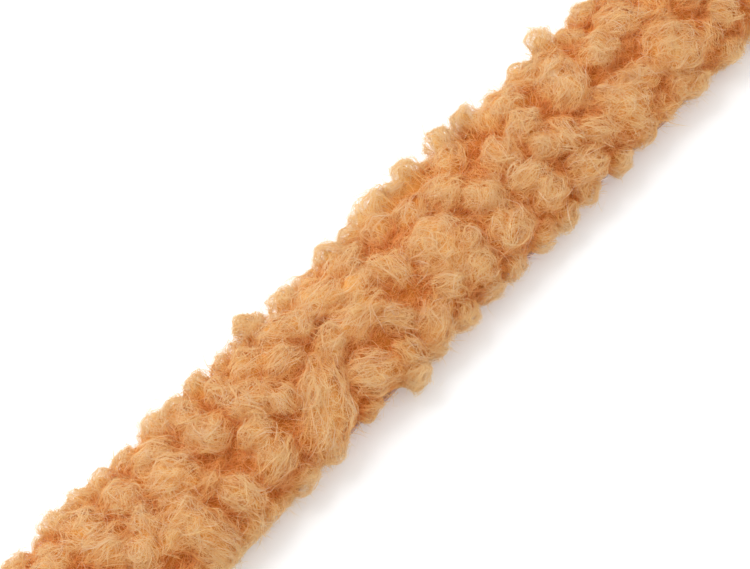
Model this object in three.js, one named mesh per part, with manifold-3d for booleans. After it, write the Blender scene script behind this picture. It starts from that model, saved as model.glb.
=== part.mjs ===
// A cut length of faux fur trim: a narrow ground tape with a thick curled pile, like lambswool.
// The trim lies on its tape. It runs along X, its front edge is towards -Y, and Z = 0 is the underside
// of the tape. The pile and the tape are one cloth, so they are one solid.
// All sizes are in millimetres, and all angles in degrees.
import * as THREE from "three";
import { mergeVertices } from "three/addons/utils/BufferGeometryUtils.js";
import Module from "manifold-3d";

const wasm = await Module();
wasm.setup();

// Driving sizes of the trim
const TRIM_LENGTH = 250;
const PILE_WIDTH = 30.5;
const PILE_TOP = 15;
const TAPE_WIDTH = 25;
const TAPE_THICKNESS = 1.2;
const TAPE_INSET = 8; // the pile stands this far past each cut end of the tape
const TAPE_WANDER = 0.35; // how far its hand-cut long edges stray from straight
const TAPE_STEPS = 24;
const FRONT_EDGE_WAVE = 1.7; // radians of wander a step
const BACK_EDGE_WAVE = 2.3;
const PILE_COLOUR = 0xe0a468;

// The pile seen end on is half an ellipse over its axis and half a taller one under it, cut off just
// over the floor. The axis runs along the trim.
const AXIS_HEIGHT = 6;
const HALF_WIDTH = PILE_WIDTH / 2;
const HALF_HEIGHT = PILE_TOP - AXIS_HEIGHT;
const LOWER_HALF_HEIGHT = 12.5; // of the taller ellipse under the axis
const PILE_FLOOR = 0.4;
const CURL_DEPTH = 2.8; // from the tops of the curls down to the matted core between them
const MERGE = 0.85; // how far the pile fills the clefts where curls meet
const CURL_HALF_HEIGHT = 4.6; // of a large curl, so its lower part lies in the core
const END_ROUNDING = 7; // how far in from each end the pile starts to round over
const CORE_END = 2; // the core stops this far short of each end

// How closely the surface of the pile is sampled
const STATION_STEP = 2.3;
const CURLED_RAYS = 31; // over the back, the top and the front
const HIDDEN_RAYS = 5; // under the trim
const FIRST_RAY = -24;
const LAST_RAY = 204;
const END_RINGS = 6;

// The curls that show most, from the left end to the right. x is the place along the trim, around is
// the angle about its axis from the back edge (90 is on top, 180 the front edge), half is half the
// width of the curl, long its length over its width, and lean the angle of its length from X.
const CURL_COLUMNS = ["x", "around", "half", "long", "lean"];
const MAIN_CURLS = [
  [-84, 62, 4.5, 1.2, -20],
  [-75, 57, 5.0, 1.2, -30],
  [-75, 84, 4.5, 1.3, 20],
  [-71, 107, 3.8, 1.0, 0],
  [-66, 62, 4.2, 1.1, 0],
  [-61, 103, 3.8, 1.2, -30],
  [-60, 138, 5.2, 1.4, 80],
  [-57, 76, 5.5, 1.2, -10],
  [-56, 49, 4.5, 1.2, 0],
  [-50, 133, 4.2, 1.3, 70],
  [-46, 76, 4.3, 1.2, 0],
  [-46, 50, 4.2, 1.0, 0],
  [-41, 128, 4.6, 1.35, -25],
  [-40, 103, 3.4, 1.2, 0],
  [-38, 53, 3.8, 1.0, 0],
  [-36, 78, 4.4, 1.15, 0],
  [-32, 96, 3.2, 1.2, 60],
  [-31, 52, 4.3, 1.1, 0],
  [-27, 128, 6.0, 1.7, -40],
  [-26, 74, 3.8, 1.3, 30],
  [-22, 47, 4.6, 1.2, 0],
  [-18.5, 66, 3.2, 1.2, 20],
  [-17, 93, 3.6, 1.0, 0],
  [-15, 138, 4.6, 1.4, 30],
  [-12, 55, 5.6, 1.3, 15],
  [-9, 91, 4.6, 1.7, 5],
  [-5, 76, 3.6, 1.3, 0],
  [1, 148, 4.4, 1.3, -20],
  [-2, 46, 4.4, 1.2, 0],
  [8, 40, 4.2, 1.1, 0],
  [8, 130, 3.8, 1.0, 0],
  [12, 98, 6.8, 1.15, -20],
  [15, 139, 4.2, 1.2, 0],
  [17, 112, 3.2, 1.0, 0],
  [22, 68, 4.8, 1.1, 0],
  [25, 129, 5.4, 1.05, 0],
  [26, 96, 4.6, 1.05, 0],
  [28, 44, 4.8, 1.2, -20],
  [35, 81, 4.7, 1.0, 0],
  [35, 111, 4.0, 1.3, 10],
  [36, 132, 4.3, 1.2, -10],
  [40, 44, 3.8, 1.1, 0],
  [43, 74, 4.5, 1.1, 30],
  [45, 46, 4.4, 1.2, 0],
  [46, 143, 4.0, 1.3, 0],
  [47, 109, 3.8, 1.1, 70],
  [52, 36, 3.6, 1.1, 0],
  [55, 80, 5.2, 1.2, 0],
  [57, 53, 4.6, 1.3, -20],
  [61, 128, 6.6, 1.15, 0],
  [66, 76, 4.5, 1.1, 0],
  [74, 68, 4.5, 1.2, 20],
  [77, 118, 6.8, 1.1, 20],
  [80, 42, 4.4, 1.1, 0],
];

// The round curls of the two long edges, which give the trim its knobbly outline. lift is how far
// the curl stands past the outline of the rest.
const RIM_COLUMNS = ["x", "half", "lift"];
const BACK_RIM = [
  [-113, 3.4, 0.6],
  [-104, 3.0, 0.8],
  [-95, 3.4, 0.4],
  [-87, 2.8, -0.3],
  [-76.5, 3.0, 0.6],
  [-70.5, 2.8, 0.1],
  [-65.5, 3.2, 0.2],
  [-59, 2.6, 0.2],
  [-50, 3.6, 1.2],
  [-44.5, 2.4, 0.6],
  [-39, 3.0, 0.8],
  [-33, 2.4, -0.2],
  [-28, 2.2, 0.0],
  [-23.4, 2.6, 2.4],
  [-15, 3.0, 1.2],
  [-9, 2.6, 0.0],
  [-1.8, 2.4, 1.4],
  [3.8, 2.2, 0.8],
  [8, 2.4, 1.7],
  [12, 3.0, 2.7],
  [17, 2.4, 1.3],
  [21, 2.8, 2.8],
  [31, 2.8, 2.6],
  [38, 2.6, 1.9],
  [54, 3.0, 0.3],
  [61.4, 2.5, 3.2],
  [72.5, 3.0, 0.3],
  [81, 3.0, 1.0],
  [91, 3.4, 0.6],
  [102, 3.0, 1.0],
  [113, 2.8, 0.4],
];
const FRONT_RIM = [
  [-114, 3.0, 0.4],
  [-104, 3.4, 0.8],
  [-93, 3.0, 0.6],
  [-84, 3.4, 0.2],
  [-73, 2.8, 0.3],
  [-62, 3.4, 0.1],
  [-52, 3.4, 0.3],
  [-46.5, 2.4, 0.0],
  [-38.5, 2.8, 0.3],
  [-30, 3.2, 0.4],
  [-19.5, 2.6, -0.6],
  [-8.2, 3.0, 2.1],
  [-2, 2.6, 0.3],
  [7, 3.0, 0.6],
  [15, 2.8, -0.1],
  [21.5, 2.8, 0.0],
  [30.5, 3.2, 0.2],
  [36.5, 3.0, 0.4],
  [43, 3.0, 0.1],
  [53, 2.8, 0.7],
  [61, 3.0, -0.7],
  [76.5, 3.2, 0.1],
  [87, 3.4, 0.4],
  [97, 3.0, 0.6],
  [109, 3.4, 0.6],
];
const BACK_RIM_AROUND = 22;
const FRONT_RIM_AROUND = 184;
const RIM_LONG = 1.1;

// Short locks stand out from the rim between the curls: four-sided, tapered and bent, with their
// roots in the pile.
const LOCK_SPACING = 8;
const LOCK_REACH = [1.2, 2.8];
const LOCK_WIDTH = [2.8, 4.2];
const LOCK_BEND = [0.8, 2.6];
const LOCK_ROOT = 5; // how deep its root lies under the outline
const LOCK_ROOT_HALF = 0.5;
const LOCK_SHIFT = 0.4; // a lock strays from its even place by up to this share of the spacing
const BACK_LOCKS_AROUND = [2, 34];
const FRONT_LOCKS_AROUND = [172, 192];
// Its sections from root to tip: the share of the reach outwards, the half width as a share of the
// lock's width, and the share of the bend along X. The root lies inside the pile.
const LOCK_COLUMNS = ["out", "half", "side"];
const LOCK_SECTIONS = [
  [0, 0.55, 0.2],
  [0.7, 0.46, 0.6],
  [1, 0.25, 1],
];

// Where the front edge of the tape shows, because the pile over it is short
const BARE_FROM = 22;
const BARE_TO = 52;
const BARE_AROUND = 178;

// Smaller curls fill what the main ones leave, by trying places and keeping those with room.
const FILL_TRIES = 7000;
const FILL_HALF = [2.9, 4.4];
const FILL_LONG = [1.0, 1.5];
const FILL_LIFT = [-1.8, 0];
const FILL_AROUND = [-24, 204];
const FILL_MARGIN = 1; // clear of the very ends
const ROOM = 0.7; // two curls may be this share of their half widths apart

const radians = THREE.MathUtils.degToRad;
const named = (columns, row) => Object.fromEntries(columns.map((name, i) => [name, row[i]]));
const isBare = (x, around) => x > BARE_FROM && x < BARE_TO && around > BARE_AROUND;

// The same run of numbers from 0 to 1 each time
let seed = 2024;
function chance() {
  seed = (Math.imul(seed, 1664525) + 1013904223) >>> 0;
  return seed / 4294967296;
}
const between = ([low, high]) => low + (high - low) * chance();

// A point of the pile's outline, the outward direction there, and the direction round the section.
// The outline is straight along X, and rounds over towards each end.
function outlineAt(x, around) {
  const past = Math.max(0, Math.abs(x) - (TRIM_LENGTH / 2 - END_ROUNDING)) / END_ROUNDING;
  const shrink = Math.sqrt(Math.max(0, 1 - past * past));
  const c = Math.cos(radians(around));
  const s = Math.sin(radians(around));
  const height = s > 0 ? HALF_HEIGHT : LOWER_HALF_HEIGHT;
  const endward = (Math.sign(x) * past) / END_ROUNDING;
  return {
    point: new THREE.Vector3(x, shrink * HALF_WIDTH * c, AXIS_HEIGHT + shrink * height * s),
    outward: new THREE.Vector3(endward, (shrink * c) / HALF_WIDTH, (shrink * s) / height).normalize(),
    round: new THREE.Vector3(0, -HALF_WIDTH * s, height * c).normalize(),
  };
}

// One curl as an ellipsoid lying in the outline: its centre, its three directions and half sizes.
function curl({ x, around, half, long, lean, lift = 0 }) {
  const { point, outward, round } = outlineAt(x, around);
  const depth = Math.min(half, CURL_HALF_HEIGHT);
  const along = new THREE.Vector3().crossVectors(outward, round).multiplyScalar(Math.cos(radians(lean)));
  along.addScaledVector(round, Math.sin(radians(lean)));
  const across = new THREE.Vector3().crossVectors(outward, along);
  return {
    centre: point.addScaledVector(outward, lift - depth),
    directions: [along, across, outward],
    halves: [half * long, half, depth],
    size: (half * (1 + long)) / 2,
  };
}

// The main curls and those of the rim, then smaller ones wherever they fit.
function allCurls() {
  const curls = MAIN_CURLS.map((row) => curl(named(CURL_COLUMNS, row)));
  for (const [rim, around] of [[BACK_RIM, BACK_RIM_AROUND], [FRONT_RIM, FRONT_RIM_AROUND]]) {
    for (const row of rim) curls.push(curl({ around, long: RIM_LONG, lean: 0, ...named(RIM_COLUMNS, row) }));
  }
  for (let i = 0; i < FILL_TRIES; i++) {
    const half = between(FILL_HALF);
    const placed = {
      x: (chance() - 0.5) * (TRIM_LENGTH - 2 * FILL_MARGIN),
      around: between(FILL_AROUND),
      half,
      long: between(FILL_LONG),
      lean: 180 * chance(),
      lift: between(FILL_LIFT),
    };
    const next = curl(placed);
    const fits = curls.every((c) => c.centre.distanceTo(next.centre) > ROOM * (c.size + next.size));
    if (fits && !isBare(placed.x, placed.around)) curls.push(next);
  }
  return curls;
}

// How far a ray from inside the pile runs before it leaves one ellipsoid for good, or 0 if it misses.
function leaves(from, direction, { centre, directions, halves }) {
  const start = new THREE.Vector3().subVectors(from, centre);
  const o = directions.map((d, i) => start.dot(d) / halves[i]);
  const v = directions.map((d, i) => direction.dot(d) / halves[i]);
  const a = v[0] ** 2 + v[1] ** 2 + v[2] ** 2;
  const b = o[0] * v[0] + o[1] * v[1] + o[2] * v[2];
  const c = o[0] ** 2 + o[1] ** 2 + o[2] ** 2 - 1;
  const root = b * b - a * c;
  return root > 0 ? (Math.sqrt(root) - b) / a : 0;
}

// The matted core under the curls, as ellipsoids over and under the axis, which also round its ends.
function coreReach(from, direction) {
  const height = direction.z > 0 ? HALF_HEIGHT : LOWER_HALF_HEIGHT;
  return leaves(from, direction, {
    centre: from,
    directions: [new THREE.Vector3(1, 0, 0), new THREE.Vector3(0, 1, 0), new THREE.Vector3(0, 0, 1)],
    halves: [END_ROUNDING - CORE_END, HALF_WIDTH - CURL_DEPTH, height - CURL_DEPTH],
  });
}

// The rays of one section: close together where curls show, and sparse under the trim.
function sectionRays() {
  const rays = [];
  for (let i = 0; i < CURLED_RAYS; i++) {
    rays.push(FIRST_RAY + ((LAST_RAY - FIRST_RAY) * i) / (CURLED_RAYS - 1));
  }
  const hiddenSweep = 360 - (LAST_RAY - FIRST_RAY);
  for (let i = 1; i <= HIDDEN_RAYS; i++) {
    rays.push(LAST_RAY + (hiddenSweep * i) / (HIDDEN_RAYS + 1));
  }
  return rays;
}

// Where a ray from the axis leaves the pile: past the outermost curl, and no lower than just over
// the floor. Where curls meet, a sum of powers rounds the cleft between them, as their fibres do.
// tip turns the ray towards the nearer end of the trim.
function pilePoint(curls, x, tip, ray) {
  const flat = Math.cos(radians(tip));
  const from = new THREE.Vector3(x, 0, AXIS_HEIGHT);
  const direction = new THREE.Vector3(
    Math.sqrt(END_ROUNDING) * Math.sin(radians(tip)),
    Math.sqrt(HALF_WIDTH) * flat * Math.cos(radians(ray)),
    Math.sqrt(HALF_HEIGHT) * flat * Math.sin(radians(ray)),
  ).normalize();
  let sum = Math.exp(coreReach(from, direction) / MERGE);
  for (const c of curls) {
    if (Math.abs(c.centre.x - x) < END_ROUNDING + c.size) sum += Math.exp(leaves(from, direction, c) / MERGE);
  }
  let reach = MERGE * Math.log(sum);
  if (direction.z < 0) reach = Math.min(reach, (AXIS_HEIGHT - PILE_FLOOR) / -direction.z);
  return from.addScaledVector(direction, reach);
}

// The lumpy pile, as rings of points from one end to the other. Every second ring is turned half a
// step, so the curls keep their round shape.
function pile(curls) {
  const rays = sectionRays();
  const halfStraight = TRIM_LENGTH / 2 - END_ROUNDING;
  const steps = Math.round((2 * halfStraight) / STATION_STEP);
  const stations = [];
  for (let i = END_RINGS - 1; i > 0; i--) stations.push({ x: -halfStraight, tip: (-90 * i) / END_RINGS });
  for (let i = 0; i <= steps; i++) stations.push({ x: halfStraight * ((2 * i) / steps - 1), tip: 0 });
  for (let i = 1; i < END_RINGS; i++) stations.push({ x: halfStraight, tip: (90 * i) / END_RINGS });

  const turned = rays.map((ray, i) => (ray + (rays[i + 1] ?? rays[0] + 360)) / 2);
  const points = [pilePoint(curls, -halfStraight, -90, 0)];
  stations.forEach(({ x, tip }, ring) => {
    for (const ray of ring % 2 ? turned : rays) points.push(pilePoint(curls, x, tip, ray));
  });
  points.push(pilePoint(curls, halfStraight, 90, 0));

  const faces = [];
  const n = rays.length;
  const at = (ring, i) => 1 + ring * n + (i % n);
  const lastRing = stations.length - 1;
  for (let i = 0; i < n; i++) {
    faces.push(0, at(0, i + 1), at(0, i));
    faces.push(points.length - 1, at(lastRing, i), at(lastRing, i + 1));
    for (let ring = 0; ring < lastRing; ring++) {
      const [a, b] = [at(ring, i), at(ring, i + 1)];
      const [c, d] = [at(ring + 1, i + 1), at(ring + 1, i)];
      if (ring % 2) faces.push(a, b, c, a, c, d);
      else faces.push(a, b, d, b, c, d);
    }
  }
  return geometryFrom(points, faces);
}

function geometryFrom(points, faces) {
  const geometry = new THREE.BufferGeometry();
  geometry.setAttribute("position", new THREE.Float32BufferAttribute(points.flatMap((p) => p.toArray()), 3));
  geometry.setIndex(faces);
  return geometry;
}

// One lock of the rim, from its root in the pile to its bent tip.
function lock(x, around, reach, width, bend) {
  const { point, outward, round } = outlineAt(x, around);
  const rings = [[-LOCK_ROOT / reach, LOCK_ROOT_HALF, 0], ...LOCK_SECTIONS];
  const points = [];
  for (const row of rings) {
    const { out, half, side } = named(LOCK_COLUMNS, row);
    const middle = point.clone().addScaledVector(outward, out * reach);
    middle.x += side * bend;
    for (let corner = 0; corner < 4; corner++) {
      const turn = ((corner + 0.5) * Math.PI) / 2;
      const p = middle.clone().addScaledVector(round, -half * width * Math.sin(turn));
      p.x += half * width * Math.cos(turn);
      p.z = Math.max(p.z, PILE_FLOOR);
      points.push(p);
    }
  }
  const faces = [0, 2, 1, 0, 3, 2];
  const top = points.length - 4;
  faces.push(top, top + 1, top + 2, top, top + 2, top + 3);
  for (let ring = 0; ring < rings.length - 1; ring++) {
    for (let corner = 0; corner < 4; corner++) {
      const a = 4 * ring + corner;
      const b = 4 * ring + ((corner + 1) % 4);
      faces.push(a, b, b + 4, a, b + 4, a + 4);
    }
  }
  return geometryFrom(points, faces);
}

// The locks along both long edges, but for where the edge of the tape shows.
function rimLocks() {
  const locks = [];
  for (const side of [BACK_LOCKS_AROUND, FRONT_LOCKS_AROUND]) {
    const span = TRIM_LENGTH / 2 - END_ROUNDING;
    for (let x = -span; x <= span; x += LOCK_SPACING) {
      const around = between(side);
      const bend = between(LOCK_BEND) * (chance() < 0.5 ? -1 : 1);
      const placed = x + LOCK_SHIFT * LOCK_SPACING * (2 * chance() - 1);
      const made = lock(placed, around, between(LOCK_REACH), between(LOCK_WIDTH), bend);
      if (!isBare(placed, around)) locks.push(made);
    }
  }
  return locks;
}

// The ground tape: a flat strip whose long edges were cut by hand, so they wander a little.
function groundTape() {
  const half = TRIM_LENGTH / 2 - TAPE_INSET;
  const along = (i) => -half + (2 * half * i) / TAPE_STEPS;
  const outline = new THREE.Shape();
  outline.moveTo(along(0), -TAPE_WIDTH / 2);
  for (let i = 1; i <= TAPE_STEPS; i++) {
    outline.lineTo(along(i), -TAPE_WIDTH / 2 + TAPE_WANDER * Math.sin(FRONT_EDGE_WAVE * i));
  }
  for (let i = TAPE_STEPS; i >= 0; i--) {
    outline.lineTo(along(i), TAPE_WIDTH / 2 + TAPE_WANDER * Math.sin(BACK_EDGE_WAVE * i));
  }
  return new THREE.ExtrudeGeometry(outline, { depth: TAPE_THICKNESS, bevelEnabled: false });
}

// A three.js geometry as a solid, and back.
function solid(geometry) {
  const bare = geometry.clone();
  bare.deleteAttribute("normal");
  bare.deleteAttribute("uv");
  const merged = mergeVertices(bare, 1e-4);
  const made = new wasm.Manifold(
    new wasm.Mesh({
      numProp: 3,
      vertProperties: new Float32Array(merged.attributes.position.array),
      triVerts: new Uint32Array(merged.index.array),
    }),
  );
  if (made.volume() < 0) throw new Error("a piece is inside out");
  return made;
}

function geometryOf(made) {
  const { vertProperties, triVerts } = made.getMesh();
  const geometry = new THREE.BufferGeometry();
  geometry.setAttribute("position", new THREE.BufferAttribute(vertProperties, 3));
  geometry.setIndex(new THREE.BufferAttribute(triVerts, 1));
  geometry.computeVertexNormals();
  return geometry;
}

function furTrim() {
  const pieces = [pile(allCurls()), groundTape(), ...rimLocks()];
  const cloth = pieces.map(solid).reduce((joined, piece) => joined.add(piece));
  const mesh = new THREE.Mesh(
    geometryOf(cloth),
    new THREE.MeshStandardMaterial({ color: PILE_COLOUR, roughness: 0.9, metalness: 0 }),
  );
  mesh.name = "fur_trim";
  return mesh;
}

const trim = new THREE.Group();
trim.add(furTrim());

export default trim;
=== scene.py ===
# %% [markdown]
# # A cut length of faux fur trim
#
# The real trim is one cloth. Its ground is a narrow knitted tape, and thousands of fine synthetic
# fibres are held in the knit. Heat curls them, so they gather into small round curls, like lambswool.
# The trim lies on its tape on a white table.
#
# The lesson starts with the places of the curls, because every layer follows them. Then it builds the
# matted undercoat, the curled fibres in their locks, the small loops over them, and the matted fibres
# in the gaps and on the ends. The tape comes after them, with the pile along its cut edges and the
# loose threads of its front edge. The finishes, the table, the light and the camera come last.

# %% Load the frame
import math

import bpy
import numpy as np
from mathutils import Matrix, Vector


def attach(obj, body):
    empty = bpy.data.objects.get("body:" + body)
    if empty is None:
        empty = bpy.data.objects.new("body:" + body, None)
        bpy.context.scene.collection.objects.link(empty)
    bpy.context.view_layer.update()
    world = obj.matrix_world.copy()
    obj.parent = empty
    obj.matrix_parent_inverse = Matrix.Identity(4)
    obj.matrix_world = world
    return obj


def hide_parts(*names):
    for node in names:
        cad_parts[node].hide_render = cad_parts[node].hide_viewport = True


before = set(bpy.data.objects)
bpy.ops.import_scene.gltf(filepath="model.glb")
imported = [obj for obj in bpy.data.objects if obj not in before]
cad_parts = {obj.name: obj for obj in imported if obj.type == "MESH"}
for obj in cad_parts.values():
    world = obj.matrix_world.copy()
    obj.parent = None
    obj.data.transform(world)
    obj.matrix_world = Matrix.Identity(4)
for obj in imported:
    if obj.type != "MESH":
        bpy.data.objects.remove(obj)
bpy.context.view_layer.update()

# %% [markdown]
# ## The sizes
#
# The work is in millimetres, and a mesh is scaled to metres as it is made. The pile seen end on is half
# an ellipse over the axis and half a taller one under it, cut off just over the table, and curls are
# pressed into that outline. Every later step places its fibres on the same curls, so all layers agree.

# %% Sizes of the trim
MM = 0.001
TRIM_LENGTH = 250
PILE_WIDTH = 30.5
PILE_TOP = 15
TAPE_WIDTH = 25
TAPE_THICKNESS = 1.2
TAPE_INSET = 8
TAPE_WANDER = 0.35
AXIS_HEIGHT = 6
HALF_WIDTH = PILE_WIDTH / 2
HALF_HEIGHT = PILE_TOP - AXIS_HEIGHT
LOWER_HALF_HEIGHT = 12.5
PILE_FLOOR = 0.4
CURL_DEPTH = 2.8
MERGE = 0.85
CURL_HALF_HEIGHT = 4.6
END_ROUNDING = 7
CORE_END = 2
STRAIGHT = TRIM_LENGTH / 2 - END_ROUNDING

# %% [markdown]
# ## Where the curls are
#
# On the real trim no two curls are alike. The large ones that catch the eye are listed one by one, from
# the left end to the right: x along the trim, the angle around its axis from the back edge (90 is on
# top), half its width, its length over its width, and the lean of its length from X. The round curls
# of the two edges give the knobbly outline. A third group fills the rest by trying places and keeping
# those with room, which is how real curls share the space.

# %% The listed curls
# x, around, half, long, lean
MAIN_CURLS = [
    (-84, 62, 4.5, 1.2, -20),
    (-75, 57, 5.0, 1.2, -30),
    (-75, 84, 4.5, 1.3, 20),
    (-71, 107, 3.8, 1.0, 0),
    (-66, 62, 4.2, 1.1, 0),
    (-61, 103, 3.8, 1.2, -30),
    (-60, 138, 5.2, 1.4, 80),
    (-57, 76, 5.5, 1.2, -10),
    (-56, 49, 4.5, 1.2, 0),
    (-50, 133, 4.2, 1.3, 70),
    (-46, 76, 4.3, 1.2, 0),
    (-46, 50, 4.2, 1.0, 0),
    (-41, 128, 4.6, 1.35, -25),
    (-40, 103, 3.4, 1.2, 0),
    (-38, 53, 3.8, 1.0, 0),
    (-36, 78, 4.4, 1.15, 0),
    (-32, 96, 3.2, 1.2, 60),
    (-31, 52, 4.3, 1.1, 0),
    (-27, 128, 6.0, 1.7, -40),
    (-26, 74, 3.8, 1.3, 30),
    (-22, 47, 4.6, 1.2, 0),
    (-18.5, 66, 3.2, 1.2, 20),
    (-17, 93, 3.6, 1.0, 0),
    (-15, 138, 4.6, 1.4, 30),
    (-12, 55, 5.6, 1.3, 15),
    (-9, 91, 4.6, 1.7, 5),
    (-5, 76, 3.6, 1.3, 0),
    (1, 148, 4.4, 1.3, -20),
    (-2, 46, 4.4, 1.2, 0),
    (8, 40, 4.2, 1.1, 0),
    (8, 130, 3.8, 1.0, 0),
    (12, 98, 6.8, 1.15, -20),
    (15, 139, 4.2, 1.2, 0),
    (17, 112, 3.2, 1.0, 0),
    (22, 68, 4.8, 1.1, 0),
    (25, 129, 5.4, 1.05, 0),
    (26, 96, 4.6, 1.05, 0),
    (28, 44, 4.8, 1.2, -20),
    (35, 81, 4.7, 1.0, 0),
    (35, 111, 4.0, 1.3, 10),
    (36, 132, 4.3, 1.2, -10),
    (40, 44, 3.8, 1.1, 0),
    (43, 74, 4.5, 1.1, 30),
    (45, 46, 4.4, 1.2, 0),
    (46, 143, 4.0, 1.3, 0),
    (47, 109, 3.8, 1.1, 70),
    (52, 36, 3.6, 1.1, 0),
    (55, 80, 5.2, 1.2, 0),
    (57, 53, 4.6, 1.3, -20),
    (61, 128, 6.6, 1.15, 0),
    (66, 76, 4.5, 1.1, 0),
    (74, 68, 4.5, 1.2, 20),
    (77, 118, 6.8, 1.1, 20),
    (80, 42, 4.4, 1.1, 0),
]
# x, half, lift past the outline
BACK_RIM = [
    (-113, 3.4, 0.6),
    (-104, 3.0, 0.8),
    (-95, 3.4, 0.4),
    (-87, 2.8, -0.3),
    (-76.5, 3.0, 0.6),
    (-70.5, 2.8, 0.1),
    (-65.5, 3.2, 0.2),
    (-59, 2.6, 0.2),
    (-50, 3.6, 1.2),
    (-44.5, 2.4, 0.6),
    (-39, 3.0, 0.8),
    (-33, 2.4, -0.2),
    (-28, 2.2, 0.0),
    (-23.4, 2.6, 2.4),
    (-15, 3.0, 1.2),
    (-9, 2.6, 0.0),
    (-1.8, 2.4, 1.4),
    (3.8, 2.2, 0.8),
    (8, 2.4, 1.7),
    (12, 3.0, 2.7),
    (17, 2.4, 1.3),
    (21, 2.8, 2.8),
    (31, 2.8, 2.6),
    (38, 2.6, 1.9),
    (54, 3.0, 0.3),
    (61.4, 2.5, 3.2),
    (72.5, 3.0, 0.3),
    (81, 3.0, 1.0),
    (91, 3.4, 0.6),
    (102, 3.0, 1.0),
    (113, 2.8, 0.4),
]
FRONT_RIM = [
    (-114, 3.0, 0.4),
    (-104, 3.4, 0.8),
    (-93, 3.0, 0.6),
    (-84, 3.4, 0.2),
    (-73, 2.8, 0.3),
    (-62, 3.4, 0.1),
    (-52, 3.4, 0.3),
    (-46.5, 2.4, 0.0),
    (-38.5, 2.8, 0.3),
    (-30, 3.2, 0.4),
    (-19.5, 2.6, -0.6),
    (-8.2, 3.0, 2.1),
    (-2, 2.6, 0.3),
    (7, 3.0, 0.6),
    (15, 2.8, -0.1),
    (21.5, 2.8, 0.0),
    (30.5, 3.2, 0.2),
    (36.5, 3.0, 0.4),
    (43, 3.0, 0.1),
    (53, 2.8, 0.7),
    (61, 3.0, -0.7),
    (76.5, 3.2, 0.1),
    (87, 3.4, 0.4),
    (97, 3.0, 0.6),
    (109, 3.4, 0.6),
]
BACK_RIM_AROUND = 22
FRONT_RIM_AROUND = 184
RIM_LONG = 1.1
# Where the front edge of the tape shows, because the pile over it is short
BARE_FROM = 22
BARE_TO = 52
BARE_AROUND = 178

# %% A curl as an ellipsoid in the outline
def unit(v):
    """The same direction, of length one. Works on one vector or on an array of them."""
    return v / np.linalg.norm(v, axis=-1, keepdims=True)


def outline_at(x, around):
    """A point of the pile's outline, the outward direction there, and the way round the section."""
    past = max(0, abs(x) - STRAIGHT) / END_ROUNDING
    shrink = math.sqrt(max(0, 1 - past * past))
    c = math.cos(math.radians(around))
    s = math.sin(math.radians(around))
    height = HALF_HEIGHT if s > 0 else LOWER_HALF_HEIGHT
    point = np.array([x, shrink * HALF_WIDTH * c, AXIS_HEIGHT + shrink * height * s])
    endward = math.copysign(past, x) / END_ROUNDING
    outward = unit(np.array([endward, shrink * c / HALF_WIDTH, shrink * s / height]))
    round_way = unit(np.array([0, -HALF_WIDTH * s, height * c]))
    return point, outward, round_way


def curl(x, around, half, long, lean, lift=0.0):
    """Centre, three directions (as rows), three half sizes, and mean half width of one curl."""
    point, outward, round_way = outline_at(x, around)
    depth = min(half, CURL_HALF_HEIGHT)
    turn = math.radians(lean)
    along = np.cross(outward, round_way) * math.cos(turn) + round_way * math.sin(turn)
    across = np.cross(outward, along)
    centre = point + outward * (lift - depth)
    directions = np.array([along, across, outward])
    halves = np.array([half * long, half, depth])
    return centre, directions, halves, half * (1 + long) / 2


# %% Fill the rest with smaller curls
FILL_TRIES = 7000
FILL_HALF = (2.9, 4.4)
FILL_LONG = (1.0, 1.5)
FILL_LIFT = (-1.8, 0.0)
FILL_AROUND = (-24, 204)
FILL_MARGIN = 1
ROOM = 0.7
CHANCE_SEED = 2024
CHANCE_FACTOR = 1664525
CHANCE_STEP = 1013904223
CHANCE_RANGE = 2**32


class Chance:
    """The same run of numbers from 0 to 1 each time."""

    def __init__(self, seed):
        self.seed = seed

    def next(self):
        self.seed = (self.seed * CHANCE_FACTOR + CHANCE_STEP) % CHANCE_RANGE
        return self.seed / CHANCE_RANGE

    def between(self, ends):
        return ends[0] + (ends[1] - ends[0]) * self.next()


def all_curls():
    """The listed curls, those of the rim, and the smaller ones wherever they fit."""
    curls = [curl(*row) for row in MAIN_CURLS]
    for rim, around in ((BACK_RIM, BACK_RIM_AROUND), (FRONT_RIM, FRONT_RIM_AROUND)):
        curls += [curl(x, around, half, RIM_LONG, 0, lift) for x, half, lift in rim]
    chance = Chance(CHANCE_SEED)
    for _ in range(FILL_TRIES):
        half = chance.between(FILL_HALF)
        x = (chance.next() - 0.5) * (TRIM_LENGTH - 2 * FILL_MARGIN)
        around = chance.between(FILL_AROUND)
        long = chance.between(FILL_LONG)
        lean = 180 * chance.next()
        placed = curl(x, around, half, long, lean, chance.between(FILL_LIFT))
        bare = BARE_FROM < x < BARE_TO and around > BARE_AROUND
        gaps = np.linalg.norm(np.array([c[0] for c in curls]) - placed[0], axis=1)
        if not bare and np.all(gaps > ROOM * (np.array([c[3] for c in curls]) + placed[3])):
            curls.append(placed)
    return [np.array(part) for part in zip(*curls)]


CENTRES, TURNS, HALVES, CURL_SIZES = all_curls()
CURLS = len(CENTRES)
print("curls:", CURLS)

# %% [markdown]
# ## The undercoat
#
# Under the curls the fibres are matted into a dense body, and between the curls one looks down on to
# it. It could be a sculpted block, but then it wouldn't follow the curls. Here rays from the pile's
# axis find the outermost curl, which gives one closed skin over all of them. The skin lies a little
# below the tops of the curls, so that the fibres made later cover it. Small lumps are added to it and
# to every fibre alike, because a real curl is never a smooth egg.

# %% How far the pile reaches along a ray
CORE_HALF_WIDTH = HALF_WIDTH - CURL_DEPTH
CORE_HALF_HEIGHT = HALF_HEIGHT - CURL_DEPTH
CORE_LOWER_HALF_HEIGHT = LOWER_HALF_HEIGHT - CURL_DEPTH


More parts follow.
